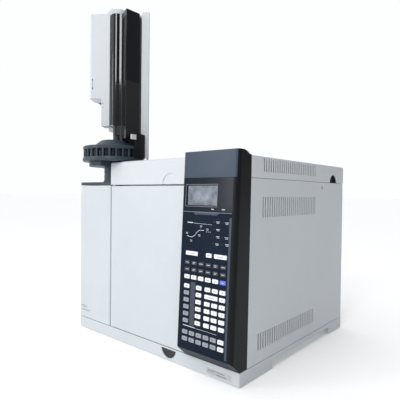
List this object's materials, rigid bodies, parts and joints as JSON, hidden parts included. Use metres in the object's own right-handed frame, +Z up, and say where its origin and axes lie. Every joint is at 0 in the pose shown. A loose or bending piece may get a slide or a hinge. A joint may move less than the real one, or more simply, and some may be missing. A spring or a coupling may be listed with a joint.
{
  "type": "gas chromatograph",
  "caption": "Bench gas chromatograph with hinged oven door, sloping keypad column, rear detector lid and a liquid sampler tower with turret on a corner post.",
  "frame": {"origin": "centre of the bounding box on the bench surface", "axes": "+X to the right seen from the front, +Y to the back, +Z up"},
  "size_m": [0.58, 0.612, 0.933],
  "materials": {
    "white_paint": "fine satin powder coat",
    "white_plastic": "fine moulded texture",
    "hood_plastic": "dark bezel moulding",
    "key_plate": "smooth dark overlay",
    "black_gloss": "polished smoked black",
    "slate_plastic": "dark slate moulding",
    "key_white": "smooth",
    "key_grey": "smooth",
    "key_dark": "smooth",
    "key_blue": "smooth",
    "window": "clear, glossy",
    "steel_sheet": "galvanised sheet",
    "stainless": "brushed",
    "aluminium": "machined",
    "insulation": "compressed ceramic wool",
    "seal": "braided glass rope",
    "rubber_black": "matt",
    "black_plastic": "matt",
    "heater": "oxidised sheath",
    "brass": "turned",
    "board": "solder resist",
    "vial_glass": "clear",
    "column": "polyimide coated",
    "syringe_glass": "clear"
  },
  "bodies": {
    "cabinet": {"base_pan": "white_paint", "leveling_feet": "rubber_black", "front_left_panel": "white_paint", "left_side_panel": "white_paint", "right_side_panel": "white_paint", "rear_panel": "steel_sheet", "side_deck_cap": "slate_plastic", "front_top_cover": "white_plastic", "right_top_cover": "white_plastic", "oven_frame": "steel_sheet", "oven_insulation": "insulation", "oven_liner": "stainless", "fan_shroud": "stainless", "heater_coil": "heater", "fan_motor": "black_plastic", "capillary_column": "column", "injection_ports": "stainless", "detectors": "stainless", "hinge_hardware": "stainless", "circuit_boards": "board", "power_supply": "aluminium", "gas_manifold": "brass", "air_ducts": "steel_sheet", "cooling_fan_frame": "black_plastic", "power_inlet": "black_plastic", "keypad_bezel": "hood_plastic", "keypad_plate": "key_plate", "display_window": "window", "mounting_post": "slate_plastic", "tower_base": "slate_plastic", "tower_spine": "white_plastic", "tower_housing": "white_plastic", "lift_frame": "aluminium", "lift_motor": "black_plastic"},
    "oven_door": {"oven_door_shell": "white_paint", "oven_door_liner": "stainless", "oven_door_gasket": "seal"},
    "latch_button": {"door_latch_button": "black_plastic"},
    "latch_hook": {"latch_hook": "steel_sheet"},
    "oven_fan": {"oven_fan": "stainless"},
    "cooling_fan": {"cooling_fan_rotor": "black_plastic"},
    "exhaust_flap": {"exhaust_flap": "stainless"},
    "intake_flap": {"intake_flap": "stainless"},
    "detector_lid": {"detector_lid": "white_plastic"},
    "power_switch": {"power_switch": "black_plastic"},
    "start_key": {"key_start": "key_white"},
    "stop_key": {"key_stop": "key_white"},
    "prep_key": {"key_prep": "key_white"},
    "function_keys": {"keys_function": "key_dark"},
    "zone_keys": {"keys_zone": "key_white"},
    "shift_key": {"key_shift": "key_blue"},
    "number_keys": {"keys_number": "key_white"},
    "store_keys": {"keys_store": "key_grey"},
    "tower_door": {"tower_door": "black_gloss"},
    "syringe_lift": {"syringe_carriage": "aluminium", "syringe": "syringe_glass"},
    "plunger_lift": {"plunger_carriage": "aluminium"},
    "lead_screw": {"lead_screw": "stainless"},
    "sample_turret": {"turret": "slate_plastic", "vials": "vial_glass"}
  },
  "joints": [
    {"name": "oven_door_hinge", "type": "hinge", "parent": "cabinet", "child": "oven_door", "pos_m": [-0.138, -0.245, 0.225], "axis": [0, 0, -1], "range_deg": [0, 100]},
    {"name": "latch_button_push", "type": "slide", "parent": "cabinet", "child": "latch_button", "axis": [0, 1, 0], "range_m": [0, 0.004], "stiffness_N_per_m": 400, "springref_m": -0.002},
    {"name": "latch_hook_tilt", "type": "hinge", "parent": "cabinet", "child": "latch_hook", "pos_m": [0.084, -0.19, 0.022], "axis": [1, 0, 0], "range_deg": [0, 12.5]},
    {"name": "oven_fan_spin", "type": "hinge", "parent": "cabinet", "child": "oven_fan", "pos_m": [-0.0035, -0.052, 0.23], "axis": [0, 1, 0], "continuous": true},
    {"name": "cooling_fan_spin", "type": "hinge", "parent": "cabinet", "child": "cooling_fan", "pos_m": [0.215, 0.257, 0.33], "axis": [0, 1, 0], "continuous": true},
    {"name": "exhaust_flap_turn", "type": "hinge", "parent": "cabinet", "child": "exhaust_flap", "pos_m": [-0.08, 0.263, 0.33], "axis": [1, 0, 0], "range_deg": [0, 80]},
    {"name": "intake_flap_turn", "type": "hinge", "parent": "cabinet", "child": "intake_flap", "pos_m": [0.08, 0.263, 0.1], "axis": [1, 0, 0], "range_deg": [0, 80]},
    {"name": "detector_lid_hinge", "type": "hinge", "parent": "cabinet", "child": "detector_lid", "pos_m": [-0.0035, 0.259, 0.467], "axis": [-1, 0, 0], "range_deg": [0, 75]},
    {"name": "power_switch_rock", "type": "hinge", "parent": "cabinet", "child": "power_switch", "pos_m": [0.215, 0.2695, 0.126], "axis": [0, 0, 1], "range_deg": [0, 10]},
    {"name": "start_key_press", "type": "slide", "parent": "cabinet", "child": "start_key", "axis": [0, 0.999, -0.0453], "range_m": [0, 0.001], "stiffness_N_per_m": 800, "springref_m": -0.0005},
    {"name": "stop_key_press", "type": "slide", "parent": "cabinet", "child": "stop_key", "axis": [0, 0.999, -0.0453], "range_m": [0, 0.001], "stiffness_N_per_m": 800, "springref_m": -0.0005},
    {"name": "prep_key_press", "type": "slide", "parent": "cabinet", "child": "prep_key", "axis": [0, 0.999, -0.0453], "range_m": [0, 0.001], "stiffness_N_per_m": 800, "springref_m": -0.0005},
    {"name": "function_keys_press", "type": "slide", "parent": "cabinet", "child": "function_keys", "axis": [0, 0.999, -0.0453], "range_m": [0, 0.001], "stiffness_N_per_m": 800, "springref_m": -0.0005},
    {"name": "zone_keys_press", "type": "slide", "parent": "cabinet", "child": "zone_keys", "axis": [0, 0.999, -0.0453], "range_m": [0, 0.001], "stiffness_N_per_m": 800, "springref_m": -0.0005},
    {"name": "shift_key_press", "type": "slide", "parent": "cabinet", "child": "shift_key", "axis": [0, 0.999, -0.0453], "range_m": [0, 0.001], "stiffness_N_per_m": 800, "springref_m": -0.0005},
    {"name": "number_keys_press", "type": "slide", "parent": "cabinet", "child": "number_keys", "axis": [0, 0.999, -0.0453], "range_m": [0, 0.001], "stiffness_N_per_m": 800, "springref_m": -0.0005},
    {"name": "store_keys_press", "type": "slide", "parent": "cabinet", "child": "store_keys", "axis": [0, 0.999, -0.0453], "range_m": [0, 0.001], "stiffness_N_per_m": 800, "springref_m": -0.0005},
    {"name": "tower_door_hinge", "type": "hinge", "parent": "cabinet", "child": "tower_door", "pos_m": [-0.17057, -0.2152, 0.74], "axis": [0, 0, -1], "range_deg": [0, 100]},
    {"name": "syringe_slide", "type": "slide", "parent": "cabinet", "child": "syringe_lift", "axis": [0, 0, -1], "range_m": [0, 0.06]},
    {"name": "plunger_slide", "type": "slide", "parent": "syringe_lift", "child": "plunger_lift", "axis": [0, 0, -1], "range_m": [0, 0.024]},
    {"name": "lead_screw_spin", "type": "hinge", "parent": "cabinet", "child": "lead_screw", "pos_m": [-0.19943, -0.12324, 0.735], "axis": [0, 0, 1], "range_deg": [0, 3601]},
    {"name": "turret_spin", "type": "hinge", "parent": "cabinet", "child": "sample_turret", "pos_m": [-0.174, -0.222, 0.515], "axis": [0, 0, 1], "continuous": true}
  ],
  "couplings": [
    {"joint": "latch_hook_tilt", "follows": "latch_button_push", "rad_per_m": 52.2},
    {"joint": "intake_flap_turn", "follows": "exhaust_flap_turn", "ratio": 1},
    {"joint": "lead_screw_spin", "follows": "syringe_slide", "rad_per_m": 1047.2}
  ]
}
